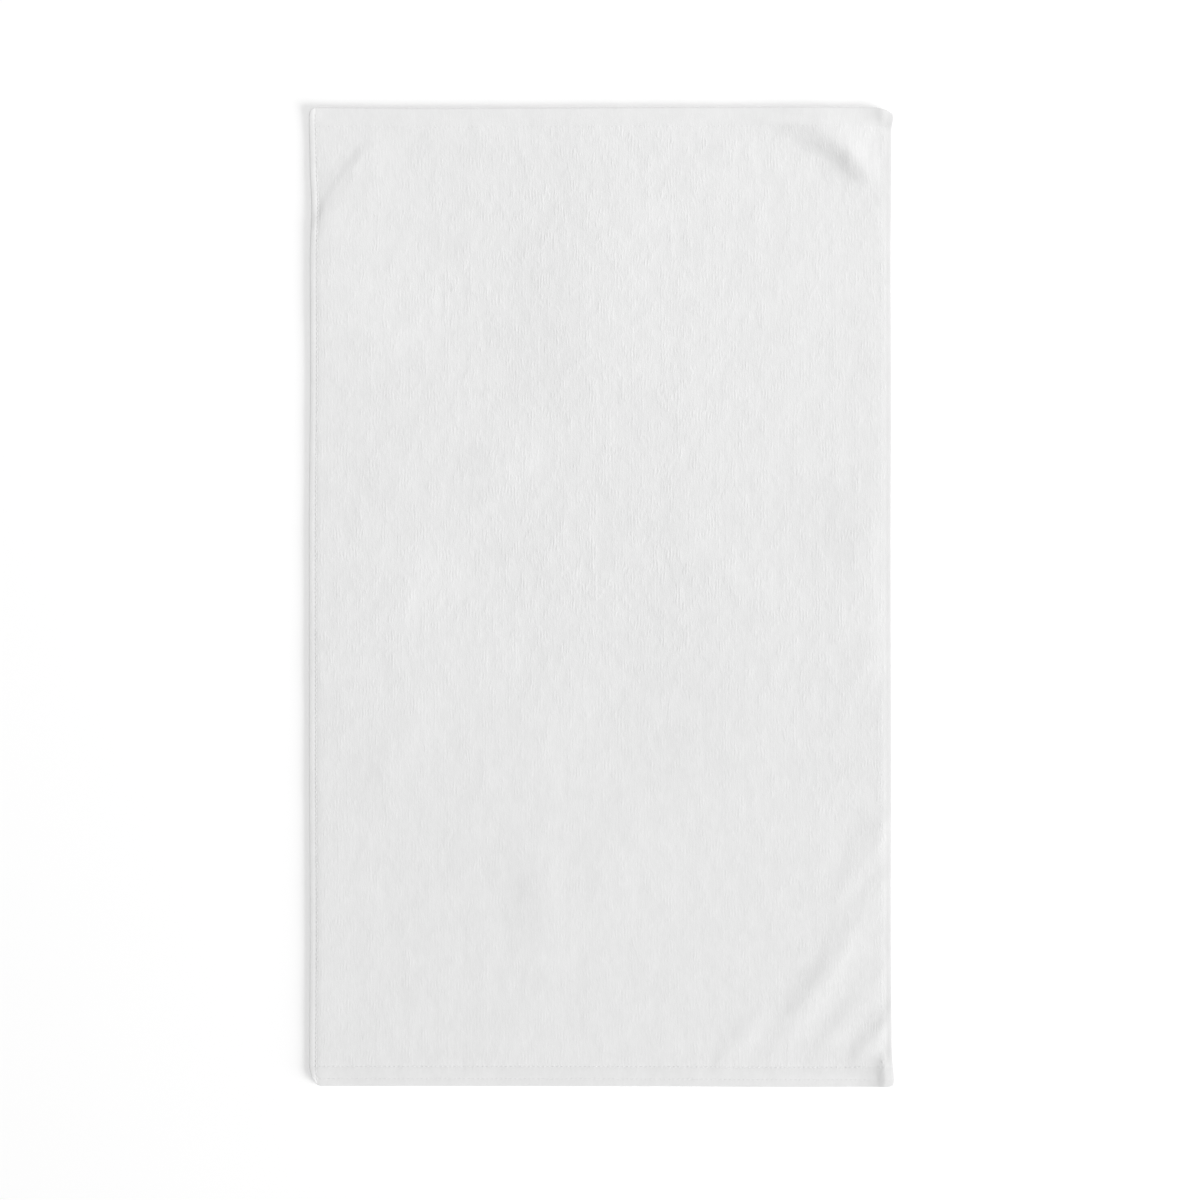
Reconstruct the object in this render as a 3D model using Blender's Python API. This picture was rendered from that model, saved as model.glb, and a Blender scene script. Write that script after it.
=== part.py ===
# A hand towel lying flat: one piece of velour terry cloth, its four edges turned over and sewn.
# Metres, +Z up. The length runs along Y and the width along X. The origin is on the surface
# that the towel lies on, under its middle.

import math
from collections import namedtuple

import bmesh
import bpy
from mathutils import Vector

# ---- Driving sizes

WIDTH = 0.4142          # between the two side edges
LENGTH = 0.6972         # between the two end edges
CLOTH = 0.0028          # thickness of the cloth with its pile

RIM_INSET = 0.0007      # how far the rounded edge draws in above and below its outermost line
RIM_MIDDLE = 0.45       # height of that outermost line, as a share of the hem's thickness
RIM_TOP = 0.80          # height where the rounded edge runs into the top of the hem
CORNER_ROUND = 0.0012   # how far each corner's tip is drawn in
CORNER_REACH = 0.0045   # along each edge, how far from the tip that starts

CELL = 0.0200           # the mesh between the hems
FOLD_REACH = 1.9        # a fold's mesh is finer within this many flank widths of its crest
FOLD_CELL = 0.62        # its cells there, as a share of the flank's width
SWELL_REACH = 1.5       # the same two for a swell, from its middle
SWELL_CELL = 0.70
CUTS = 3                # how often a cell may be halved for that
SETTLE = 0.0005         # a rise lower than this stays in the cloth, and its underside stays flat
TIP_WIDTH = 0.6         # how wide a fold still is where it ends, as a share of its width

# The section across a turned edge, from the edge inwards: the bead of folded cloth, the groove
# that the stitching pulls down, and the cloth's own thickness after it.
Section = namedtuple("Section", "inward thick")
SIDE_HEM = (
    Section(RIM_INSET, 0.0029),
    Section(0.0019, 0.0031),
    Section(0.0034, 0.0031),
    Section(0.0049, 0.0029),
    Section(0.0066, 0.0030),
    Section(0.0160, CLOTH),
)
END_HEM = (
    Section(RIM_INSET, 0.0029),
    Section(0.0020, 0.0031),
    Section(0.0080, 0.0032),
    Section(0.0126, 0.0031),
    Section(0.0140, 0.0029),
    Section(0.0200, CLOTH),
)

# How far each edge leaves its straight line, outwards, at places along it from the middle.
Wander = namedtuple("Wander", "edge along out")
WANDERS = (
    Wander("left", 0.345, 0.0006),
    Wander("left", 0.311, -0.0001),
    Wander("left", 0.277, -0.0013),
    Wander("left", 0.243, -0.0003),
    Wander("left", 0.174, -0.0005),
    Wander("left", 0.037, 0.0004),
    Wander("left", -0.100, 0.0003),
    Wander("left", -0.236, -0.0003),
    Wander("left", -0.338, 0.0001),
    Wander("right", 0.345, 0.0008),
    Wander("right", 0.311, 0.0010),
    Wander("right", 0.243, 0.0005),
    Wander("right", 0.141, 0.0008),
    Wander("right", 0.037, 0.0005),
    Wander("right", -0.134, 0.0008),
    Wander("right", -0.236, 0.0006),
    Wander("right", -0.318, 0.0012),
    Wander("right", -0.345, 0.0022),
    Wander("top", -0.207, 0.0000),
    Wander("top", -0.120, -0.0005),
    Wander("top", -0.050, -0.0003),
    Wander("top", 0.067, 0.0002),
    Wander("top", 0.136, 0.0003),
    Wander("top", 0.200, 0.0001),
    Wander("bottom", -0.207, 0.0003),
    Wander("bottom", -0.070, 0.0003),
    Wander("bottom", 0.033, 0.0005),
    Wander("bottom", 0.136, 0.0010),
    Wander("bottom", 0.207, 0.0008),
)

# How far the sewing draws each corner out of square, and how far along the two edges that
# reaches. bunch is the extra thickness where the two turned edges cross.
Corner = namedtuple("Corner", "side end shift_x shift_y reach_x reach_y bunch")
CORNERS = (
    Corner(-1, 1, 0.0003, -0.0003, 0.012, 0.014, 0.0006),
    Corner(1, 1, 0.0022, -0.0040, 0.0115, 0.0165, 0.0009),
    Corner(-1, -1, 0.0022, 0.0036, 0.0075, 0.0125, 0.0006),
    Corner(1, -1, 0.0010, -0.0002, 0.0150, 0.0215, 0.0006),
)

# A fold is a soft ridge along a line from start to end, which bows sideways at its middle. It
# climbs to its height over rise_in and falls again over run_out. left and right are the widths of
# its two flanks as seen from the start, and spread is how much wider they are at the end. Towards
# the bow and the left flank the numbers are positive.
Fold = namedtuple("Fold", "start end bow height left right spread rise_in run_out")
FOLDS = (
    # the fan of ridges in the lower right corner, each from the side hem inwards
    Fold((0.2095, -0.1464), (0.1625, -0.2305), 0.0000, 0.0006, 0.0080, 0.0100, 1.10, 0.020, 0.045),
    Fold((0.2150, -0.1775), (0.1215, -0.3280), 0.0020, 0.0011, 0.0090, 0.0080, 1.50, 0.078, 0.050),
    Fold((0.2095, -0.2580), (0.1460, -0.3330), 0.0015, 0.0007, 0.0080, 0.0070, 1.10, 0.028, 0.045),
    Fold((0.2095, -0.2847), (0.1724, -0.3432), 0.0010, 0.0010, 0.0060, 0.0060, 1.00, 0.020, 0.022),
    Fold((0.1183, -0.2933), (0.0769, -0.3432), 0.0000, 0.0005, 0.0080, 0.0080, 1.00, 0.024, 0.024),
    # the pucker where that corner's two hems cross
    Fold((0.2040, -0.3260), (0.2042, -0.3740), 0.0000, 0.0019, 0.0130, 0.0048, 1.00, 0.006, 0.014),
    # the curved ridge in the upper right corner, from its inner end
    Fold((0.1070, 0.3370), (0.1965, 0.2875), 0.0190, 0.0032, 0.0220, 0.0115, 0.75, 0.046, 0.030),
    # the crease across the upper left corner, from the side hem
    Fold((-0.2120, 0.2480), (-0.1560, 0.3330), 0.0006, 0.0014, 0.0045, 0.0150, 1.10, 0.026, 0.036),
    # the long roll beside the right hem
    Fold((0.1910, 0.0903), (0.1924, -0.0879), -0.0010, 0.0006, 0.0090, 0.0200, 1.00, 0.060, 0.060),
)

# Broad low rises in the rest of the cloth, each an oval with its long axis turned from +X. The
# first two are small hollows at the foot of the longest ridge, and the last is the small pucker
# where the hems cross in the upper right corner.
Swell = namedtuple("Swell", "x y long wide turn height")
SWELLS = (
    Swell(0.151, -0.264, 0.012, 0.009, 50, -0.00034),
    Swell(0.132, -0.289, 0.012, 0.008, 50, -0.00028),
    Swell(-0.201, 0.239, 0.060, 0.034, 90, 0.00070),
    Swell(-0.007, 0.212, 0.085, 0.042, 84, 0.00090),
    Swell(-0.071, 0.096, 0.032, 0.018, 60, 0.00050),
    Swell(-0.141, 0.005, 0.028, 0.018, 60, 0.00060),
    Swell(0.014, 0.303, 0.070, 0.016, -4, 0.00050),
    Swell(0.082, 0.022, 0.042, 0.013, -38, 0.00050),
    Swell(-0.043, -0.220, 0.050, 0.018, 88, 0.00060),
    Swell(-0.143, -0.106, 0.030, 0.018, 65, 0.00050),
    Swell(-0.046, -0.088, 0.050, 0.024, 70, 0.00040),
    Swell(0.011, -0.196, 0.050, 0.022, 65, 0.00035),
    Swell(0.192, 0.346, 0.020, 0.014, 0, 0.00040),
    Swell(0.200, 0.344, 0.005, 0.0055, 0, 0.00105),
)

# The turned edges don't lie quite still: the side hems rise and fall along their length.
RIPPLE = 0.00016
RIPPLE_LENGTH = 0.083
RIPPLE_REACH = 0.020

# ---- Small helpers


def smooth(x):
    """0 at 0 and 1 at 1, with level ends."""
    x = min(max(x, 0.0), 1.0)
    return x * x * (3.0 - 2.0 * x)


def between(rows, place):
    """The value at a place, from rows of (place, value) sorted by place."""
    if place <= rows[0][0]:
        return rows[0][1]
    for (a, low), (b, high) in zip(rows, rows[1:]):
        if place <= b:
            return low + (high - low) * smooth((place - a) / (b - a))
    return rows[-1][1]


EDGE_LINES = {
    edge: sorted((w.along, w.out) for w in WANDERS if w.edge == edge)
    for edge in ("left", "right", "top", "bottom")
}
SIDE_ROWS = [(row.inward, row.thick) for row in SIDE_HEM]
END_ROWS = [(row.inward, row.thick) for row in END_HEM]

# ---- Where the cloth lies, seen from above


def corner_pull(s, t):
    """How far the corners pull a point of the cloth, which lies at s and t when it is square."""
    x, y = 0.0, 0.0
    for corner in CORNERS:
        from_side = WIDTH / 2 - corner.side * s
        from_end = LENGTH / 2 - corner.end * t
        share = max(0.0, 1 - from_side / corner.reach_x) * max(0.0, 1 - from_end / corner.reach_y)
        x += corner.shift_x * share
        y += corner.shift_y * share
        tip = max(0.0, 1 - from_side / CORNER_REACH) * max(0.0, 1 - from_end / CORNER_REACH)
        x -= corner.side * CORNER_ROUND * tip
        y -= corner.end * CORNER_ROUND * tip
    return x, y


def lying(s, t):
    """The place in plan of a point of the square cloth."""
    across = 0.5 + s / WIDTH
    along = 0.5 + t / LENGTH
    x = s - between(EDGE_LINES["left"], t) * (1 - across) + between(EDGE_LINES["right"], t) * across
    y = t - between(EDGE_LINES["bottom"], s) * (1 - along) + between(EDGE_LINES["top"], s) * along
    pull_x, pull_y = corner_pull(s, t)
    return x + pull_x, y + pull_y


# ---- How high it rises


def on_fold(fold, place):
    """(distance from the crest line; share of the fold's height; width of the flank) at a place."""
    start, end = Vector(fold.start), Vector(fold.end)
    length = (end - start).length
    ahead = (end - start) / length
    off = place - start
    along = off.dot(ahead)
    aside = ahead.x * off.y - ahead.y * off.x
    way = along / length
    slant = 4 * fold.bow * (1 - 2 * way) / length
    from_crest = (aside - 4 * fold.bow * way * (1 - way)) / math.hypot(1, slant)
    share = smooth(along / fold.rise_in) * smooth((length - along) / fold.run_out)
    flank = fold.left if from_crest > 0 else fold.right
    flank *= 1 + (fold.spread - 1) * min(max(way, 0.0), 1.0)
    flank *= TIP_WIDTH + (1 - TIP_WIDTH) * share
    return from_crest, share, flank


def fold_rise(fold, place):
    from_crest, share, flank = on_fold(fold, place)
    return fold.height * share * math.exp(-((from_crest / flank) ** 2))


def on_swell(swell, place):
    """The distance from a swell's middle, where 1 is its outline."""
    turn = math.radians(swell.turn)
    dx, dy = place.x - swell.x, place.y - swell.y
    along = (dx * math.cos(turn) + dy * math.sin(turn)) / swell.long
    across = (dy * math.cos(turn) - dx * math.sin(turn)) / swell.wide
    return math.hypot(along, across)


def swell_rise(swell, place):
    return swell.height * math.exp(-(on_swell(swell, place) ** 2))


def ripple_rise(place):
    inward = WIDTH / 2 - abs(place.x)
    wave = 0.5 + 0.5 * math.sin(2 * math.pi * place.y / RIPPLE_LENGTH + 1.3 * math.copysign(1, place.x))
    return RIPPLE * wave * (1 - smooth(inward / RIPPLE_REACH))


def rise(x, y):
    """How high the cloth lies over the surface at a place in plan."""
    place = Vector((x, y))
    total = sum(fold_rise(fold, place) for fold in FOLDS)
    total += sum(swell_rise(swell, place) for swell in SWELLS)
    return total + ripple_rise(place)


def thickness(s, t):
    """How thick the cloth and its turned edges are."""
    from_side = WIDTH / 2 - abs(s)
    from_end = LENGTH / 2 - abs(t)
    thick = between(SIDE_ROWS, from_side) + between(END_ROWS, from_end) - CLOTH
    for corner in CORNERS:
        if corner.side * s > 0 and corner.end * t > 0:
            share = (1 - smooth(from_side / corner.reach_x)) * (1 - smooth(from_end / corner.reach_y))
            thick += corner.bunch * share
    return thick


# ---- The mesh


def lines_across(size, hem):
    """Where the mesh has its lines across one direction: the hems' own, and even cells between."""
    half = size / 2
    edge = [row.inward for row in hem]
    inner = half - edge[-1]
    cells = round(2 * inner / CELL)
    middle = [-inner + 2 * inner * i / cells for i in range(1, cells)]
    return [-half + e for e in edge] + middle + [half - e for e in reversed(edge)]


def flat_sheet():
    """The square cloth as one layer, with small cells where folds will rise."""
    columns = lines_across(WIDTH, SIDE_HEM)
    rows = lines_across(LENGTH, END_HEM)
    sheet = bmesh.new()
    grid = [[sheet.verts.new((s, t, 0)) for s in columns] for t in rows]
    for lower, upper in zip(grid, grid[1:]):
        for i in range(len(columns) - 1):
            sheet.faces.new((lower[i], lower[i + 1], upper[i + 1], upper[i]))
    for _ in range(CUTS):
        long_edges = [e for e in sheet.edges if too_long(e)]
        bmesh.ops.subdivide_edges(sheet, edges=long_edges, cuts=1, use_grid_fill=True)
    return sheet


def too_long(edge):
    """Whether an edge of the mesh is too long to follow the fold or swell that it lies on."""
    middle = ((edge.verts[0].co + edge.verts[1].co) / 2).xy
    length = edge.calc_length()
    for fold in FOLDS:
        from_crest, share, flank = on_fold(fold, middle)
        if share > 0 and abs(from_crest) < FOLD_REACH * flank and length > FOLD_CELL * flank:
            return True
    for swell in SWELLS:
        if on_swell(swell, middle) < SWELL_REACH and length > SWELL_CELL * swell.wide:
            return True
    return False


def layers(sheet):
    """The cloth's upper and lower faces and the rounded edge between them, from the one layer."""
    flat = {v: v.co.xy for v in sheet.verts}
    rim = [v for v in sheet.verts if v.is_boundary]
    copied = bmesh.ops.duplicate(sheet, geom=sheet.verts[:] + sheet.edges[:] + sheet.faces[:])
    below = copied["vert_map"]
    bmesh.ops.reverse_faces(sheet, faces=[f for f in copied["geom"] if isinstance(f, bmesh.types.BMFace)])

    outermost = {}
    for v in rim:
        s, t = flat[v]
        side = math.copysign(RIM_INSET, s) if WIDTH / 2 - abs(s) < 1.5 * RIM_INSET else 0.0
        end = math.copysign(RIM_INSET, t) if LENGTH / 2 - abs(t) < 1.5 * RIM_INSET else 0.0
        x, y = lying(s + side, t + end)
        height = rise(*lying(s, t)) + RIM_MIDDLE * thickness(s, t)
        outermost[v] = sheet.verts.new((x, y, height))

    for v, (s, t) in flat.items():
        x, y = lying(s, t)
        lift = rise(x, y)
        thick = thickness(s, t) * (RIM_TOP if v in outermost else 1.0)
        below[v].co = (x, y, max(0.0, lift - SETTLE))
        v.co = (x, y, lift + thick)

    for edge in [e for e in sheet.edges if e.is_boundary and e.verts[0] in outermost]:
        a, b = edge.verts
        if edge.link_loops[0].vert == a:
            a, b = b, a
        sheet.faces.new((a, b, outermost[b], outermost[a]))
        sheet.faces.new((outermost[a], outermost[b], below[b], below[a]))


def cloth_material():
    material = bpy.data.materials.new("white_terry")
    material.use_nodes = True
    shader = material.node_tree.nodes["Principled BSDF"]
    shader.inputs["Base Color"].default_value = (0.74, 0.74, 0.74, 1)
    shader.inputs["Roughness"].default_value = 0.95
    shader.inputs["Metallic"].default_value = 0.0
    material.diffuse_color = (0.74, 0.74, 0.74, 1)
    return material


def towel_cloth():
    sheet = flat_sheet()
    layers(sheet)
    bmesh.ops.recalc_face_normals(sheet, faces=sheet.faces[:])
    mesh = bpy.data.meshes.new("towel_cloth")
    sheet.to_mesh(mesh)
    sheet.free()
    mesh.shade_smooth()
    mesh.materials.append(cloth_material())
    towel = bpy.data.objects.new("towel_cloth", mesh)
    bpy.context.scene.collection.objects.link(towel)
    return towel


for old in list(bpy.data.objects):
    bpy.data.objects.remove(old, do_unlink=True)
towel_cloth()
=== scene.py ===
import math

import bpy
import numpy as np
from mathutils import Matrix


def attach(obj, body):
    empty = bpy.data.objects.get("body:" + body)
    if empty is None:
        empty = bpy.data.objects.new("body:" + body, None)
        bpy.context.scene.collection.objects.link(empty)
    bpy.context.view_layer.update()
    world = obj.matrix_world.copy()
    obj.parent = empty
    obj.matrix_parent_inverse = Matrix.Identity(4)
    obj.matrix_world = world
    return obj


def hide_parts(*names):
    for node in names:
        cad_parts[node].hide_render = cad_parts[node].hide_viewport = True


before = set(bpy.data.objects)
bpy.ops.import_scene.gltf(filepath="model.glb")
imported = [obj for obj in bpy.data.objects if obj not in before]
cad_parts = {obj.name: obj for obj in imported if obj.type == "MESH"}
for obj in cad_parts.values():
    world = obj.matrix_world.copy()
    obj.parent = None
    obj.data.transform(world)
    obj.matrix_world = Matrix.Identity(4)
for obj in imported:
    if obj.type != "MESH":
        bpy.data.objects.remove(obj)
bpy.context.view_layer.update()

# A white terry hand towel on a pale floor, seen from straight above.
# Metres, +Z up, x across the towel and y along it, 0 under its middle.


class Wire:
    # one output socket of a node, so that shader sums can be written as sums
    def __init__(self, look, socket):
        self.look = look
        self.socket = socket

    def __add__(self, other):
        return self.look.maths("ADD", self, other)

    def __radd__(self, other):
        return self.look.maths("ADD", other, self)

    def __sub__(self, other):
        return self.look.maths("SUBTRACT", self, other)

    def __rsub__(self, other):
        return self.look.maths("SUBTRACT", other, self)

    def __mul__(self, other):
        return self.look.maths("MULTIPLY", self, other)

    def __rmul__(self, other):
        return self.look.maths("MULTIPLY", other, self)

    def __truediv__(self, other):
        return self.look.maths("DIVIDE", self, other)

    def __rtruediv__(self, other):
        return self.look.maths("DIVIDE", other, self)

    def __abs__(self):
        return self.look.maths("ABSOLUTE", self)


class Look:
    # one material, and the nodes that are put into it
    def __init__(self, name, viewColour):
        self.material = bpy.data.materials.new(name)
        self.material.use_nodes = True
        self.material.diffuse_color = (*viewColour, 1)
        self.tree = self.material.node_tree
        self.tree.nodes.clear()

    def node(self, kind, settings=None, sockets=None, out=0):
        made = self.tree.nodes.new(kind)
        for name, value in (settings or {}).items():
            setattr(made, name, value)
        for name, value in (sockets or {}).items():
            if isinstance(value, Wire):
                self.tree.links.new(value.socket, made.inputs[name])
            else:
                made.inputs[name].default_value = value
        if isinstance(out, tuple):
            return [Wire(self, made.outputs[i]) for i in out]
        return Wire(self, made.outputs[out]) if made.outputs else None

    def maths(self, operation, first, second=0.0):
        return self.node("ShaderNodeMath", {"operation": operation}, {0: first, 1: second})

    def step(self, value, low, high):
        # 0 below low and 1 above high, with a soft climb between
        return self.node("ShaderNodeMapRange", {"interpolation_type": "SMOOTHSTEP"},
                         {"Value": value, "From Min": low, "From Max": high})

    def noise(self, x, y, size, detail=1.0, roughness=0.5):
        # soft noise from 0 to 1, whose hills have about that size across and along
        place = self.node("ShaderNodeCombineXYZ", None, {"X": x / size[0], "Y": y / size[1]})
        return self.node("ShaderNodeTexNoise", {"noise_dimensions": "2D"},
                         {"Vector": place, "Scale": 1.0, "Detail": detail, "Roughness": roughness})

    def wave(self, value, length):
        return self.maths("SINE", value * (2 * math.pi / length)) * 0.5 + 0.5

    def mix(self, share, first, second):
        # two colours, of which share is the second one's; it may pass 0 and 1 a little
        return self.node("ShaderNodeMix", {"data_type": "RGBA", "clamp_factor": False},
                         {"Factor": share, 6: (*first, 1), 7: (*second, 1)}, out=2)

    def parts(self, vector):
        return self.node("ShaderNodeSeparateXYZ", None, {0: vector}, out=(0, 1, 2))

    def line(self, value, middle, half):
        # 1 on a line and 0 away from it
        return 1 - self.step(abs(value - middle), half * 0.25, half)

    def patch(self, place, middle, size, turn):
        # 1 in the middle of a turned oval, fading to 0 a little outside it, at any height
        near = self.node("ShaderNodeMapping", {"vector_type": "TEXTURE"}, {
            "Vector": place, "Location": (*middle, 0), "Rotation": (0, 0, math.radians(turn)),
            "Scale": (*size, 1000)})
        away = self.node("ShaderNodeVectorMath", {"operation": "LENGTH"}, {0: near}, out=1)
        return 1 - self.step(away * away, 0.0, 1.6)

    def cloth(self, colour, roughness, height, depth, sheen, sheenRoughness):
        bump = self.node("ShaderNodeBump", None, {"Height": height, "Distance": depth})
        shader = self.node("ShaderNodeBsdfPrincipled", None, {
            "Base Color": colour, "Roughness": roughness, "Normal": bump,
            "Sheen Weight": sheen, "Sheen Roughness": sheenRoughness, "Specular IOR Level": 0.2})
        self.node("ShaderNodeOutputMaterial", None, {"Surface": shader})
        return self.material


towel = {
    "width": 0.4142,
    "length": 0.6972,
    "thick": 0.0028,
    # (distance inwards from the edge, thickness there)
    "leftHem": ((0.0004, 0.00286), (0.0007, 0.00292), (0.0016, 0.00302), (0.0030, 0.00307),
                (0.0048, 0.00290), (0.0064, 0.00305), (0.0110, 0.00302), (0.0300, 0.0028)),
    "rightHem": ((0.0004, 0.00270), (0.0007, 0.00276), (0.0022, 0.00281), (0.0042, 0.00282),
                 (0.0066, 0.00293), (0.0085, 0.00297), (0.0110, 0.00297), (0.0300, 0.0028)),
    "topHem": ((0.0004, 0.00305), (0.0007, 0.00310), (0.0020, 0.00315), (0.0080, 0.00315),
               (0.0125, 0.00312), (0.0138, 0.00305), (0.0150, 0.00308), (0.0250, 0.0028)),
    "bottomHem": ((0.0004, 0.00300), (0.0007, 0.00306), (0.0020, 0.00314), (0.0044, 0.00312),
                  (0.0054, 0.00300), (0.0064, 0.00312), (0.0128, 0.00310), (0.0142, 0.00278),
                  (0.0158, 0.00300), (0.0250, 0.0028)),
    # the rounded outer edge: (drawn in, share of the thickness), from the top face down
    "rim": ((0.00008, 0.88), (0.0, 0.64), (0.00055, 0.22)),
    "foot": {"side": 0.0012, "bottom": 0.0012, "top": 0.0042},  # how far in the edge touches down
    "rimInset": 0.0004,    # how far in from the outermost line the upper face ends
    "rimTop": 0.99,        # how high it is there, as a share of the thickness
    "cornerRound": 0.0012,  # how far each corner's tip is drawn in
    "cornerReach": 0.0045,  # how far from the tip that starts
    "settle": 0.0005,      # a rise lower than this stays in the cloth
    "tipWidth": 0.6,       # how wide a fold still is where it ends, as a share of its width
    "cell": 0.0056,        # the underside's mesh; the upper face has several cells to each
    "cellsAcross": 4,
    "cellsAlong": 2,
    "hemCells": 2,
}

# How far each edge leaves its straight line, outwards: (place along it, how far).
edgeLines = {
    "left": ((-0.338, 0.0001), (-0.236, -0.0003), (-0.100, 0.0003), (0.037, 0.0004), (0.174, -0.0005),
             (0.243, -0.0003), (0.277, -0.0013), (0.311, -0.0001), (0.345, 0.0006)),
    "right": ((-0.345, 0.0022), (-0.318, 0.0012), (-0.236, 0.0006), (-0.134, 0.0008), (0.037, 0.0005),
              (0.141, 0.0008), (0.243, 0.0005), (0.311, 0.0010), (0.345, 0.0008)),
    "top": ((-0.207, 0.0), (-0.120, -0.0005), (-0.050, -0.0003), (0.067, 0.0002), (0.136, 0.0003),
            (0.200, 0.0001)),
    "bottom": ((-0.207, 0.0003), (-0.070, 0.0003), (0.033, 0.0005), (0.136, 0.0010), (0.207, 0.0008)),
}

# How the sewing draws the corners: side, end, shift (x, y), reach (x, y), extra thickness.
corners = (
    (-1, 1, (0.0003, -0.0003), (0.012, 0.014), 0.0006),
    (1, 1, (0.0022, -0.0040), (0.0115, 0.0165), 0.0009),
    (-1, -1, (0.0022, 0.0036), (0.0075, 0.0125), 0.0006),
    (1, -1, (0.0010, -0.0002), (0.0150, 0.0215), 0.0006),
)

# Soft ridges: start, end, bow, height, flank on the left of the way and on the right, how much
# wider at the end, and the lengths over which it climbs and falls.
folds = (
    ((0.2105, -0.1474), (0.1635, -0.2315), 0.0000, 0.0006, 0.0080, 0.0100, 1.10, 0.020, 0.045),
    ((0.2150, -0.1775), (0.1215, -0.3280), 0.0020, 0.00090, 0.0085, 0.0080, 1.50, 0.078, 0.050),
    ((0.2095, -0.2580), (0.1460, -0.3330), 0.0015, 0.0006, 0.0080, 0.0070, 1.10, 0.028, 0.045),
    ((0.2120, -0.2870), (0.1750, -0.3455), 0.0010, 0.0008, 0.0060, 0.0060, 1.00, 0.020, 0.022),
    ((0.1183, -0.2933), (0.0769, -0.3432), 0.0000, 0.0005, 0.0080, 0.0080, 1.00, 0.024, 0.024),
    ((0.2026, -0.3260), (0.2028, -0.3740), 0.0000, 0.0014, 0.0130, 0.0052, 1.00, 0.006, 0.014),
    ((0.0950, 0.3390), (0.2015, 0.2785), 0.0235, 0.0040, 0.0190, 0.0130, 0.72, 0.090, 0.040),
    ((-0.2122, 0.2482), (-0.1562, 0.3332), 0.0006, 0.0008, 0.0038, 0.0350, 1.10, 0.026, 0.036),
    ((0.1910, 0.0903), (0.1924, -0.0879), -0.0010, 0.0006, 0.0090, 0.0200, 1.00, 0.060, 0.060),
)

# Low rises and hollows: x, y, long, wide, turn in degrees, height.
swells = (
    (0.151, -0.264, 0.012, 0.009, 50, -0.00034),
    (0.132, -0.289, 0.012, 0.008, 50, -0.00028),
    (-0.201, 0.239, 0.060, 0.034, 90, 0.00070),
    (-0.007, 0.212, 0.085, 0.042, 84, 0.00090),
    (-0.071, 0.096, 0.032, 0.018, 60, 0.00050),
    (-0.141, 0.005, 0.028, 0.018, 60, 0.00060),
    (0.014, 0.303, 0.070, 0.016, -4, 0.00050),
    (0.082, 0.022, 0.042, 0.013, -38, 0.00050),
    (-0.043, -0.220, 0.050, 0.018, 88, 0.00060),
    (-0.143, -0.106, 0.030, 0.018, 65, 0.00050),
    (-0.046, -0.088, 0.050, 0.024, 70, 0.00040),
    (0.011, -0.196, 0.050, 0.022, 65, 0.00035),
    (0.192, 0.346, 0.020, 0.014, 0, 0.00040),
    (-0.1998, 0.277, 0.018, 0.0022, 88, -0.00032),
    (-0.1998, 0.302, 0.028, 0.0020, 90, -0.00012),
    (0.0, 0.351, 0.300, 0.008, 0, 0.00115),
    (0.2000, 0.3440, 0.0050, 0.0055, 0, 0.00105),
)

# The side hems rise and fall a little along their length, and not in step with each other.
ripple = {"height": 0.00016, "length": 0.083, "reach": 0.020, "apart": 1.3}

# The pile's own unevenness: hills (x by y), height, seed.
pile = {
    "hills": (
        (0.0300, 0.0450, 0.00013, 3),
        (0.0120, 0.0170, 0.00006, 5),
        (0.0052, 0.0076, 0.00004, 7),
        (0.0030, 0.0060, 0.000028, 11),
    ),
    "lattice": 512,        # seeded values each way, more than the cloth has hills
    "hemShare": 0.35,      # how much of it shows on the turned edges
    "hemReach": 0.0070,
    "bandReach": 0.0150,
}


def smooth(x):
    x = np.clip(x, 0.0, 1.0)
    return x * x * (3.0 - 2.0 * x)


def between(rows, place):
    # the value at each place, from (place, value) rows in rising order
    places = np.array([row[0] for row in rows])
    values = np.array([row[1] for row in rows])
    i = np.clip(np.searchsorted(places, place) - 1, 0, len(rows) - 2)
    share = smooth((place - places[i]) / (places[i + 1] - places[i]))
    return values[i] + (values[i + 1] - values[i]) * share


def hills(x, y, sizeX, sizeY, seed):
    # smooth seeded noise from -1 to 1
    count = pile["lattice"]
    lattice = np.random.RandomState(seed).uniform(-1, 1, (count, count))
    u, v = x / sizeX + count / 2, y / sizeY + count / 2
    i, j = np.floor(u).astype(int), np.floor(v).astype(int)
    du, dv = smooth(u - i), smooth(v - j)
    low = lattice[i, j] * (1 - du) + lattice[i + 1, j] * du
    high = lattice[i, j + 1] * (1 - du) + lattice[i + 1, j + 1] * du
    return low * (1 - dv) + high * dv


def lying(s, t):
    # where a point of the square cloth lies in plan
    halfX, halfY = towel["width"] / 2, towel["length"] / 2
    across, along = 0.5 + s / towel["width"], 0.5 + t / towel["length"]
    x = s - between(edgeLines["left"], t) * (1 - across) + between(edgeLines["right"], t) * across
    y = t - between(edgeLines["bottom"], s) * (1 - along) + between(edgeLines["top"], s) * along
    for side, end, shift, reach, _ in corners:
        fromSide, fromEnd = halfX - side * s, halfY - end * t
        share = np.maximum(0, 1 - fromSide / reach[0]) * np.maximum(0, 1 - fromEnd / reach[1])
        tip = (np.maximum(0, 1 - fromSide / towel["cornerReach"])
               * np.maximum(0, 1 - fromEnd / towel["cornerReach"]))
        x = x + shift[0] * share - side * towel["cornerRound"] * tip
        y = y + shift[1] * share - end * towel["cornerRound"] * tip
    return x, y


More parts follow.
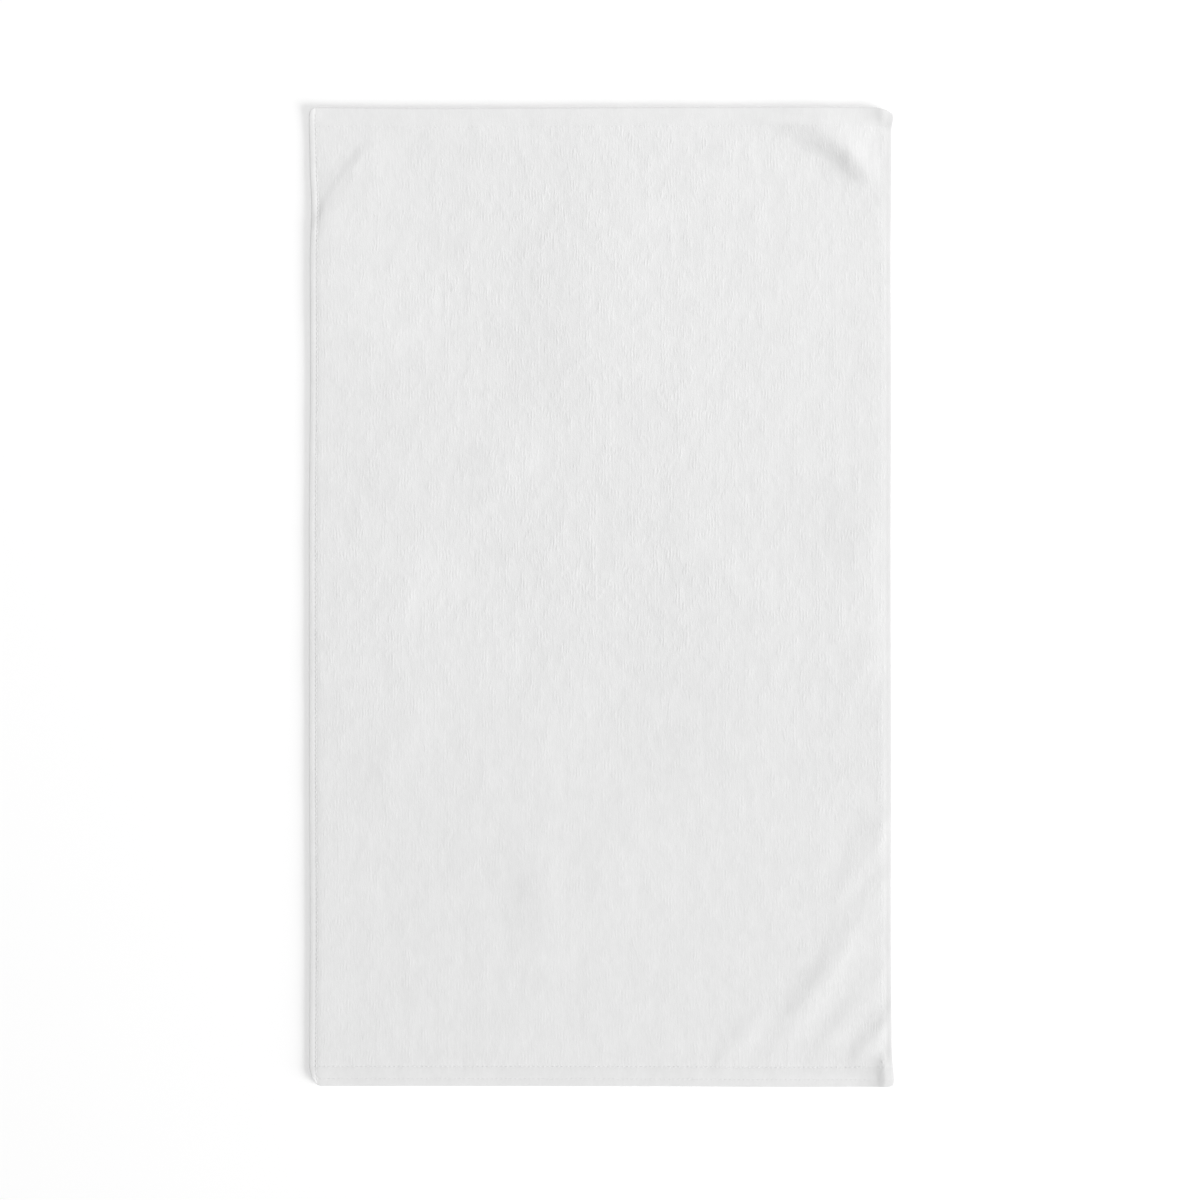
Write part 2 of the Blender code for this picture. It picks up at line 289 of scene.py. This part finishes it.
def foldRise(fold, x, y):
    start, end, bow, height, left, right, spread, riseIn, runOut = fold
    length = math.dist(start, end)
    aheadX, aheadY = (end[0] - start[0]) / length, (end[1] - start[1]) / length
    along = (x - start[0]) * aheadX + (y - start[1]) * aheadY
    aside = (y - start[1]) * aheadX - (x - start[0]) * aheadY
    way = along / length
    slant = 4 * bow * (1 - 2 * way) / length
    fromCrest = (aside - 4 * bow * way * (1 - way)) / np.hypot(1, slant)
    share = smooth(along / riseIn) * smooth((length - along) / runOut)
    flank = np.where(fromCrest > 0, left, right) * (1 + (spread - 1) * np.clip(way, 0, 1))
    flank = flank * (towel["tipWidth"] + (1 - towel["tipWidth"]) * share)
    return height * share * np.exp(-((fromCrest / flank) ** 2))


def swellRise(swell, x, y):
    middleX, middleY, long, wide, turn, height = swell
    turn = math.radians(turn)
    dx, dy = x - middleX, y - middleY
    along = (dx * math.cos(turn) + dy * math.sin(turn)) / long
    across = (dy * math.cos(turn) - dx * math.sin(turn)) / wide
    return height * np.exp(-(along ** 2 + across ** 2))


def rippleRise(x, y):
    inward = towel["width"] / 2 - np.abs(x)
    turned = 0.5 + 0.5 * np.sin(2 * math.pi * y / ripple["length"] + ripple["apart"] * np.sign(x))
    return ripple["height"] * turned * (1 - smooth(inward / ripple["reach"]))


def liftAt(x, y):
    # how high the cloth's underside would hang if nothing settled
    total = rippleRise(x, y)
    for fold in folds:
        total = total + foldRise(fold, x, y)
    for swell in swells:
        total = total + swellRise(swell, x, y)
    return total


def thickAt(s, t):
    halfX, halfY = towel["width"] / 2, towel["length"] / 2
    side = np.where(s < 0, between(towel["leftHem"], halfX + s), between(towel["rightHem"], halfX - s))
    end = np.where(t < 0, between(towel["bottomHem"], halfY + t), between(towel["topHem"], halfY - t))
    thick = side + end - towel["thick"]
    for cornerSide, cornerEnd, _, reach, bunch in corners:
        nearSide = smooth(1 - (halfX - cornerSide * s) / reach[0])
        nearEnd = smooth(1 - (halfY - cornerEnd * t) / reach[1])
        thick = thick + bunch * (nearSide * nearEnd)
    return thick


def napAt(s, t):
    # the pile's own hills and streaks, weaker on the turned edges
    halfX, halfY = towel["width"] / 2, towel["length"] / 2
    inside = (smooth((halfX - np.abs(s)) / pile["hemReach"])
              * smooth((halfY - np.abs(t)) / pile["bandReach"]))
    share = pile["hemShare"] + (1 - pile["hemShare"]) * inside
    return share * sum(height * hills(s, t, sizeX, sizeY, seed)
                       for sizeX, sizeY, height, seed in pile["hills"])


def topAt(s, t):
    # the upper face: x, y and height
    x, y = lying(s, t)
    return x, y, liftAt(x, y) + thickAt(s, t) + napAt(s, t)


def meshLines(size, lowHem, highHem, cells):
    # coarse lines across one direction, and how many fine cells each gap between them has
    half = size / 2
    low = [-half + row[0] for row in lowHem]
    high = [half - row[0] for row in reversed(highHem)]
    count = round((high[0] - low[-1]) / towel["cell"])
    middle = [low[-1] + (high[0] - low[-1]) * i / count for i in range(1, count)]
    hemCells = towel["hemCells"]
    parts = [hemCells] * (len(low) - 1) + [cells] * count + [hemCells] * (len(high) - 1)
    coarse = low + middle + high
    fine, stops = [coarse[0]], [0]
    for start, end, part in zip(coarse, coarse[1:], parts):
        fine += [start + (end - start) * k / part for k in range(1, part + 1)]
        stops.append(len(fine) - 1)
    return np.array(coarse), np.array(fine), stops


def around(columns, rows):
    # the grid places along the border, anticlockwise from the lower left
    return ([(0, i) for i in range(columns - 1)]
            + [(j, columns - 1) for j in range(rows - 1)]
            + [(rows - 1, i) for i in range(columns - 1, 0, -1)]
            + [(j, 0) for j in range(rows - 1, 0, -1)])


def rimRings(s, t, thick):
    # rings of points down the rounded outer edge, for the places along the top face's border
    base = liftAt(*lying(s, t))
    inset, foot = towel["rimInset"], towel["foot"]
    # the border itself is one inset in from the outermost line
    onSide = np.abs(s) > towel["width"] / 2 - 1.5 * inset
    onEnd = np.abs(t) > towel["length"] / 2 - 1.5 * inset
    rings = []
    for drawnIn, share in towel["rim"]:
        out = inset - drawnIn
        outEnd = np.where(onEnd & (t > 0), inset - drawnIn * foot["top"] / foot["side"], out)
        x, y = lying(s + np.sign(s) * out * onSide, t + np.sign(t) * outEnd * onEnd)
        rings.append(np.stack([x, y, base + share * thick], -1))
    return rings


def underside(s, t):
    # it starts a little in from the edges, and lies flat wherever the cloth isn't lifted
    foot, halfX, halfY = towel["foot"], towel["width"] / 2, towel["length"] / 2
    x, y = lying(np.clip(s, foot["side"] - halfX, halfX - foot["side"]),
                 np.clip(t, foot["bottom"] - halfY, halfY - foot["top"]))
    z = np.maximum(0, liftAt(x, y) - towel["settle"])
    return np.stack([x, y, z], -1).reshape(-1, 3)


def gridFaces(index):
    # the four points of each cell, anticlockwise
    cells = [index[:-1, :-1], index[:-1, 1:], index[1:, 1:], index[1:, :-1]]
    return np.stack(cells, -1).reshape(-1, 4).tolist()


def makeCloth():
    coarseS, fineS, stopsS = meshLines(towel["width"], towel["leftHem"], towel["rightHem"],
                                       towel["cellsAcross"])
    coarseT, fineT, stopsT = meshLines(towel["length"], towel["bottomHem"], towel["topHem"],
                                       towel["cellsAlong"])
    s, t = np.meshgrid(fineS, fineT)
    x, y, z = topAt(s, t)
    rows, columns = s.shape
    border = around(columns, rows)
    borderJ, borderI = np.array(border).T
    edge = s[borderJ, borderI], t[borderJ, borderI]
    thick = thickAt(*edge)
    z[borderJ, borderI] -= (1 - towel["rimTop"]) * thick
    top = np.stack([x, y, z], -1).reshape(-1, 3)
    rings = rimRings(*edge, thick)
    lowS, lowT = np.meshgrid(coarseS, coarseT)
    lowRows, lowColumns = lowS.shape

    topIndex = np.arange(rows * columns).reshape(rows, columns)
    ringStart = len(top) + len(border) * np.arange(len(rings) + 1)
    belowIndex = np.arange(lowRows * lowColumns).reshape(lowRows, lowColumns) + ringStart[-1]
    points = np.concatenate([top] + rings + [underside(lowS, lowT)])

    faces = gridFaces(topIndex) + [[a, d, c, b] for a, b, c, d in gridFaces(belowIndex)]
    loops = [[int(topIndex[j, i]) for j, i in border]]
    loops += [list(range(start, start + len(border))) for start in ringStart[:-1].tolist()]
    for upper, lower in zip(loops, loops[1:]):
        for k in range(len(border)):
            n = (k + 1) % len(border)
            faces.append([upper[n], upper[k], lower[k], lower[n]])
    # the underside has fewer points, so several of the last ring's meet one of its edges
    spot = {place: k for k, place in enumerate(border)}
    lowBorder = around(lowColumns, lowRows)
    for k, (j, i) in enumerate(lowBorder):
        nextJ, nextI = lowBorder[(k + 1) % len(lowBorder)]
        first, last = spot[(stopsT[j], stopsS[i])], spot[(stopsT[nextJ], stopsS[nextI])]
        last = last if last > first else last + len(border)
        ring = [loops[-1][m % len(border)] for m in range(first, last + 1)]
        faces.append(ring[::-1] + [int(belowIndex[j, i]), int(belowIndex[nextJ, nextI])])
    mesh = bpy.data.meshes.new("towelCloth")
    mesh.from_pydata(points.tolist(), [], faces)
    mesh.shade_smooth()

    # each point's place on the flat cloth and its height, which the finish follows
    flat = [np.stack([s, t], -1).reshape(-1, 2)] + [np.stack(edge, -1)] * len(rings)
    flat = np.concatenate(flat + [np.stack([lowS, lowT], -1).reshape(-1, 2)])
    places = mesh.attributes.new("clothPlace", "FLOAT_VECTOR", "POINT")
    places.data.foreach_set("vector", np.column_stack([flat, points[:, 2]]).ravel())
    piece = bpy.data.objects.new("towelCloth", mesh)
    bpy.context.scene.collection.objects.link(piece)
    return piece


sewing = {
    "pitch": 0.0033,       # from one stitch to the next
    "stitch": 0.0027,      # the length of one
    "radius": 0.00021,
    "sides": 6,
    "profile": ((0.00, 0.45, -0.00012), (0.18, 0.90, 0.00004), (0.50, 1.00, 0.00014),
                (0.82, 0.90, 0.00004), (1.00, 0.45, -0.00012)),  # along, thickness share, height
    "jitter": 0.00012,     # how far a stitch is off its place
    "cornerGap": 0.0030,
    "seed": 23,
}

# Rows of stitches: name, which edge it runs beside, how far in, how much painted shade darkens the pile
# along it (in shares of the step from its dark to its light) and how deep the thread lies.
stitchRows = (
    ("leftHemStitches", "left", 0.0050, 0.55, 0.0),
    ("rightHemStitches", "right", 0.0076, 0.0, 0.00022),
    ("topHemStitches", "top", 0.0138, 0.0, 0.00018),
    ("bottomHemStitches", "bottom", 0.0142, 0.20, 0.00006),
    ("bottomEdgeStitches", "bottom", 0.0054, 0.0, 0.00010),
)


def seamPlaces(edge, inward, along):
    # the place on the square cloth of points along a row of stitches
    halfX, halfY = towel["width"] / 2, towel["length"] / 2
    fixed = np.full_like(along, {"left": inward - halfX, "right": halfX - inward,
                                 "top": halfY - inward, "bottom": inward - halfY}[edge])
    return (fixed, along) if edge in ("left", "right") else (along, fixed)


def makeStitches(name, edge, inward, sunk, draws):
    length = towel["length"] if edge in ("left", "right") else towel["width"]
    half = length / 2 - sewing["cornerGap"]
    count = int(2 * half / sewing["pitch"])
    starts = -half + sewing["pitch"] * (np.arange(count) + 0.5)
    starts = starts + draws.uniform(-1, 1, count) * sewing["jitter"]
    inwards = inward + draws.uniform(-1, 1, count) * sewing["jitter"]
    points, faces = [], []
    sides = sewing["sides"]
    turns = np.arange(sides) * 2 * math.pi / sides
    for start, depth in zip(starts, inwards):
        along = np.array([start + sewing["stitch"] * (row[0] - 0.5) for row in sewing["profile"]])
        x, y, z = topAt(*seamPlaces(edge, depth, along))
        spine = np.stack([x, y, z - sunk + np.array([row[2] for row in sewing["profile"]])], -1)
        ahead = spine[-1] - spine[0]
        ahead = ahead / np.linalg.norm(ahead)
        aside = np.cross([0, 0, 1], ahead)
        aside = aside / np.linalg.norm(aside)
        upward = np.cross(ahead, aside)
        first = len(points)
        for centre, row in zip(spine, sewing["profile"]):
            radius = sewing["radius"] * row[1]
            points += [centre + radius * (math.cos(a) * aside + math.sin(a) * upward) for a in turns]
        for ring in range(len(spine) - 1):
            low = first + ring * sides
            for k in range(sides):
                n = (k + 1) % sides
                faces.append((low + k, low + n, low + sides + n, low + sides + k))
        faces.append(tuple(first + k for k in reversed(range(sides))))
        faces.append(tuple(first + (len(spine) - 1) * sides + k for k in range(sides)))
    mesh = bpy.data.meshes.new(name)
    mesh.from_pydata([tuple(p) for p in points], [], faces)
    mesh.shade_smooth()
    piece = bpy.data.objects.new(name, mesh)
    bpy.context.scene.collection.objects.link(piece)
    return piece


# Ovals painted lighter or darker: x, y, half across, half along, turn in degrees, how much
# lighter (in shares of the step from the cloth's dark to its light). The first ones are patches of
# lighter or darker tone over the cloth; those under the headings below are painted shade and painted
# light.
tonesAndPaintedShade = (
    (-0.144, 0.206, 0.036, 0.040, 0, 0.44),
    (-0.053, 0.113, 0.024, 0.026, 0, 0.29),
    (-0.130, 0.015, 0.034, 0.024, 0, 0.33),
    (-0.151, -0.083, 0.030, 0.040, 0, 0.18),
    (0.081, 0.160, 0.022, 0.090, 0, 0.13),
    (0.156, 0.056, 0.030, 0.036, 0, -0.31),
    (-0.066, -0.203, 0.022, 0.028, 0, -0.31),
    (-0.172, -0.127, 0.024, 0.018, 0, -0.22),
    (-0.036, 0.145, 0.014, 0.050, 0, -0.18),
    (0.160, -0.100, 0.030, 0.040, 0, -0.22),
    (0.060, -0.070, 0.050, 0.090, 0, -0.30),
    (-0.115, 0.080, 0.055, 0.190, 0, 0.25),
    (-0.166, -0.010, 0.016, 0.070, 0, 0.35),
    (-0.066, -0.050, 0.020, 0.050, 0, 0.30),
    (-0.200, -0.090, 0.005, 0.100, 0, -0.40),
    (0.179, -0.005, 0.009, 0.035, -12, 0.55),
    (0.203, 0.030, 0.005, 0.050, 0, -0.50),
    # painted light on the left hem's shaded rim and its upper corner, and painted shade in the crease
    # that runs into it and on the hem lower down
    (-0.2070, -0.0600, 0.0010, 0.330, 0, 1.50),
    (-0.2070, -0.2600, 0.0010, 0.120, 0, 0.80),
    (-0.2012, 0.2875, 0.0013, 0.040, 0, -0.70),
    (-0.2018, 0.2720, 0.0016, 0.016, 0, -0.80),
    (-0.2045, 0.3225, 0.0045, 0.034, 0, 0.80),
    (-0.2026, -0.2350, 0.0013, 0.120, 0, -1.00),
    (-0.1855, 0.3005, 0.0026, 0.026, -34, -0.85),
    # painted shade on the rim of the top hem, and lighter places near the ends of the bottom one
    (0.0000, 0.3486, 0.3200, 0.0013, 0, -1.50),
    (-0.1962, -0.3389, 0.0060, 0.006, 0, 0.50),
    (0.1600, -0.3425, 0.0450, 0.004, 0, 0.28),
    (0.1898, -0.3425, 0.0050, 0.004, 0, 0.40),
    # painted shade and painted light on the flanks of the lower right corner's folds
    (0.1867, -0.1963, 0.0040, 0.018, -28, 0.40),
    (0.1867, -0.2113, 0.0030, 0.018, -30, -0.45),
    (0.1880, -0.2260, 0.0035, 0.020, -28, 0.40),
    (0.1817, -0.3205, 0.0050, 0.006, 0, -0.40),
    (0.1730, -0.2335, 0.0050, 0.020, -32, 0.70),
    (0.1405, -0.2600, 0.0070, 0.016, -28, -0.50),
    (0.2020, -0.1770, 0.0040, 0.020, 0, 0.35),
    (0.1485, -0.2680, 0.0070, 0.013, -28, -0.65),
    (0.1275, -0.2876, 0.0090, 0.011, 0, -0.60),
    (0.1625, -0.3020, 0.0050, 0.009, -32, -0.25),
    (0.1820, -0.3200, 0.0055, 0.011, -35, -0.70),
    (0.1920, -0.3100, 0.0040, 0.011, -38, -0.60),
    (0.2040, -0.3000, 0.0025, 0.030, 0, -1.00),
    (0.1960, -0.3395, 0.0016, 0.008, 0, -1.30),
    (0.1990, -0.3400, 0.0018, 0.009, 0, -0.70),
    # painted shade on the upper right corner and the dark flank of its ridge, with a little painted
    # light
    (0.1468, 0.3205, 0.0120, 0.005, -25, -0.50),
    (0.1318, 0.3395, 0.0200, 0.004, -6, 0.60),
    (0.1990, 0.2935, 0.0060, 0.018, 0, -0.55),
    (0.1975, 0.3430, 0.0035, 0.005, 0, -0.60),
    (0.2030, 0.3400, 0.0060, 0.008, 0, -1.50),
    (0.1975, 0.3050, 0.0080, 0.028, 0, -1.40),
    (0.1890, 0.3170, 0.0060, 0.013, 0, -0.80),
    (0.1785, 0.3065, 0.0065, 0.014, 44, -1.10),
    (0.1840, 0.2980, 0.0050, 0.009, 35, -1.00),
    (0.1320, 0.3320, 0.0130, 0.006, 0, -0.50),
)

# Where the pile stands rougher or calmer than elsewhere: the same columns, the last of them
# being how much rougher.
combed = (
    (-0.020, -0.280, 0.240, 0.230, 0, -0.42),
    (0.000, 0.160, 0.105, 0.230, 0, 0.30),
    (-0.170, 0.300, 0.050, 0.070, 0, -0.20),
)

terry = {
    "light": (0.764, 0.764, 0.764),
    "dark": (0.731, 0.731, 0.731),
    "roughness": 0.95,
    "shine": 0.05,                   # how much less rough its lightest places are
    "sheen": 0.30,
    "sheenRoughness": 0.5,
    "depth": 0.00016,                # of the relief, whose kinds have these shares of it
    "ribShare": 0.24,
    "streakShare": 0.40,
    "clumpShare": 0.45,
    "tuftShare": 0.50,
    "bandShare": 0.25,               # how much of it is left on the end hems' bands and side hems
    "endBand": (0.0110, 0.0140),     # from an edge inwards, where the pile starts
    "sideBand": (0.0030, 0.0060),
    "seamShadeHalf": 0.0013,           # half the width of the painted shade beside a row of stitches
    "ribPitch": 0.0023,
    "ribWander": 0.0011,
    "heightIn": (0.8, 0.9),          # how far a place's height moves it in the patterns
    "roughLeast": 0.55,              # how strong the relief is where the pile is smoothest
    "roughAdded": 0.9,               # what is added to that where it is roughest
    # how much each pattern adds to the light and dark
    "largeShade": 0.5,
    "smallShade": 0.36,
    "leaningShade": 0.7,
    "streakShade": 0.3,
    # between which values a pattern turns from nothing to all
    "breakSpan": (0.40, 0.66),
    "roughSpan": (0.38, 0.66),
    "shadeSpan": (0.25, 0.61),
    "streakSpan": (0.3, 0.7),
    # how large each pattern's spots are, across and along
    "wanderSize": (0.009, 0.014),
    "breakSize": (0.0055, 0.0075),
    "streakSize": (0.0013, 0.0044),
    "tuftSize": (0.00065, 0.00080),
    "clumpSize": (0.0026, 0.0034),
    "roughSize": (0.011, 0.014),
    "shadeSize": (0.016, 0.022),
    "smallShadeSize": (0.0040, 0.0090),
}


def ovals(look, place, rows, start):
    # the sum of the turned ovals in a table, each with its own strength, over a start value
    total = start
    for middleX, middleY, halfAcross, halfAlong, turn, strength in rows:
        total = look.patch(place, (middleX, middleY), (halfAcross, halfAlong), turn) * strength + total
    return total


def terryLook():
    look = Look("whiteTerry", terry["light"])
    place = look.node("ShaderNodeAttribute", {"attribute_name": "clothPlace"}, out=1)
    flatX, flatY, z = look.parts(place)
    # the height is let in a little, so that the edges' walls have grain as well
    x, y = flatX + z * terry["heightIn"][0], flatY + z * terry["heightIn"][1]
    halfX, halfY = towel["width"] / 2, towel["length"] / 2
    # where the pile stands up: everywhere but on the flat bands of the end hems and the side hems
    band = look.step(halfY - abs(flatY), *terry["endBand"])
    hem = look.step(halfX - abs(flatX), *terry["sideBand"])
    standing = terry["bandShare"] + (1 - terry["bandShare"]) * (band * hem)
    # painted shade along the grooves of some rows of stitches
    inwards = {"left": flatX + halfX, "right": halfX - flatX,
               "top": halfY - flatY, "bottom": flatY + halfY}
    seamShade = 0
    for _, edge, inward, darker, _ in stitchRows:
        seamShade = look.line(inwards[edge], inward, terry["seamShadeHalf"]) * darker + seamShade
    # long ribs that wander sideways and break up
    wander = look.noise(x, y, terry["wanderSize"]) * (terry["ribWander"] * 2)
    ribs = look.wave(x + wander, terry["ribPitch"])
    broken = look.step(look.noise(x, y, terry["breakSize"]), *terry["breakSpan"])
    streaks = look.noise(x, y, terry["streakSize"])
    # tufts of sheared pile, seen from above
    tufts = look.noise(x, y, terry["tuftSize"], 2.0, 0.6)
    clumps = look.noise(x, y, terry["clumpSize"])
    # some of the cloth is brushed smooth and some is rough
    uneven = look.step(look.noise(x, y, terry["roughSize"]), *terry["roughSpan"])
    rough = terry["roughLeast"] + terry["roughAdded"] * uneven
    grain = ovals(look, place, combed, 1.0)
    relief = ribs * broken * terry["ribShare"] + streaks * terry["streakShare"]
    relief = relief + clumps * terry["clumpShare"]
    height = (relief * rough * standing + tufts * terry["tuftShare"]) * grain
    # patches where the pile leans, which look a little lighter or darker
    large = look.noise(x, y, terry["shadeSize"], 2.0)
    small = look.noise(x, y, terry["smallShadeSize"])
    leaning = look.step(large * terry["largeShade"] + small * terry["smallShade"], *terry["shadeSpan"])
    streaky = look.step(streaks, *terry["streakSpan"])
    # the table's ovals add painted shade and painted light on the hems, creases and folds to these tones
    shade = ovals(look, place, tonesAndPaintedShade, leaning * terry["leaningShade"] + streaky * terry["streakShade"])
    colour = look.mix(shade - seamShade, terry["dark"], terry["light"])
    dullness = terry["roughness"] - terry["shine"] * shade
    return look.cloth(colour, dullness, height, terry["depth"], terry["sheen"], terry["sheenRoughness"])


thread = {
    "light": (0.80, 0.80, 0.80),
    "dark": (0.70, 0.70, 0.70),
    "roughness": 0.62,
    "plyLength": 0.0007,
    "depth": 0.00004,
    "sheen": 0.05,
    "sheenRoughness": 0.4,
    "shine": 0.08,         # how much less rough a ply's crest is
}


def threadLook():
    look = Look("whiteThread", thread["light"])
    x, y, z = look.parts(look.node("ShaderNodeTexCoord", out=3))  # the piece's own metres
    plies = look.wave(x + y + z, thread["plyLength"])
    # the colour is darker in the grooves between the plies, which is painted shade, and lighter on their
    # crests
    colour = look.mix(plies, thread["dark"], thread["light"])
    rough = thread["roughness"] - thread["shine"] * plies
    return look.cloth(colour, rough, plies, thread["depth"], thread["sheen"], thread["sheenRoughness"])


studio = {
    "floorSize": 6.0,
    "floorColour": (0.975, 0.975, 0.975),
    "ambient": 0.635,
    # direction the light comes from (degrees from +x, degrees up), distance, size, share of radiance
    "upper": (60, 25, 3.2, 1.7, 0.165),
    "lower": (-29, 19.5, 11.0, 7.1, 0.315),
    # the camera's frame: its middle on the floor, and the width that it takes in
    "middle": (-0.0001, -0.0024),
    "frameWidth": 0.8556,
    "distance": 3.0,
    "sensor": 36.0,
}


def areaLight(name, azimuth, elevation, distance, size, radiance, shadows):
    azimuth, elevation = math.radians(azimuth), math.radians(elevation)
    light = bpy.data.lights.new(name, "AREA")
    light.shape = "DISK"
    light.size = size
    # a disk of this power gives a white floor this radiance under it
    light.energy = radiance * math.pi * math.pi * distance ** 2 / math.sin(elevation)
    light.use_shadow = shadows
    lamp = bpy.data.objects.new(name, light)
    flat = distance * math.cos(elevation)
    lamp.location = (flat * math.cos(azimuth), flat * math.sin(azimuth), distance * math.sin(elevation))
    lamp.rotation_euler = (math.pi / 2 - elevation, 0, azimuth + math.pi / 2)
    bpy.context.scene.collection.objects.link(lamp)


def makeStudio():
    scene = bpy.context.scene
    scene.view_settings.view_transform = "Standard"
    world = bpy.data.worlds.new("softWhite")
    world.use_nodes = True
    background = world.node_tree.nodes["Background"]
    background.inputs["Color"].default_value = (1, 1, 1, 1)
    background.inputs["Strength"].default_value = studio["ambient"]
    scene.world = world
    # only the lower light casts shadows
    areaLight("upperLight", *studio["upper"], False)
    areaLight("lowerLight", *studio["lower"], True)

    mesh = bpy.data.meshes.new("paleFloor")
    half = studio["floorSize"] / 2
    square = [(-half, -half, 0), (half, -half, 0), (half, half, 0), (-half, half, 0)]
    mesh.from_pydata(square, [], [(0, 1, 2, 3)])
    floor = bpy.data.objects.new("paleFloor", mesh)
    scene.collection.objects.link(floor)
    look = Look("palePaint", studio["floorColour"])
    shader = look.node("ShaderNodeBsdfPrincipled", None, {
        "Base Color": (*studio["floorColour"], 1), "Roughness": 1.0, "Specular IOR Level": 0.0})
    look.node("ShaderNodeOutputMaterial", None, {"Surface": shader})
    mesh.materials.append(look.material)

    camera = bpy.data.cameras.new("camera")
    camera.sensor_width = studio["sensor"]
    camera.lens = studio["sensor"] * studio["distance"] / studio["frameWidth"]
    camera.clip_end = 20
    eye = bpy.data.objects.new("camera", camera)
    eye.location = (*studio["middle"], studio["distance"])
    scene.collection.objects.link(eye)
    scene.camera = eye


makeStudio()
print("studio done")

cloth = makeCloth()
cloth.data.materials.append(terryLook())
print("cloth done:", sum(len(face.vertices) - 2 for face in cloth.data.polygons), "triangles")

draws = np.random.RandomState(sewing["seed"])
threadMaterial = threadLook()
seams = []
for name, edge, inward, _, sunk in stitchRows:
    seam = makeStitches(name, edge, inward, sunk, draws)
    seam.data.materials.append(threadMaterial)
    seams.append(seam)
print("sewing done:", len(seams), "rows")

for piece in [cloth] + seams:
    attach(piece, "root")
    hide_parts("towel_cloth")
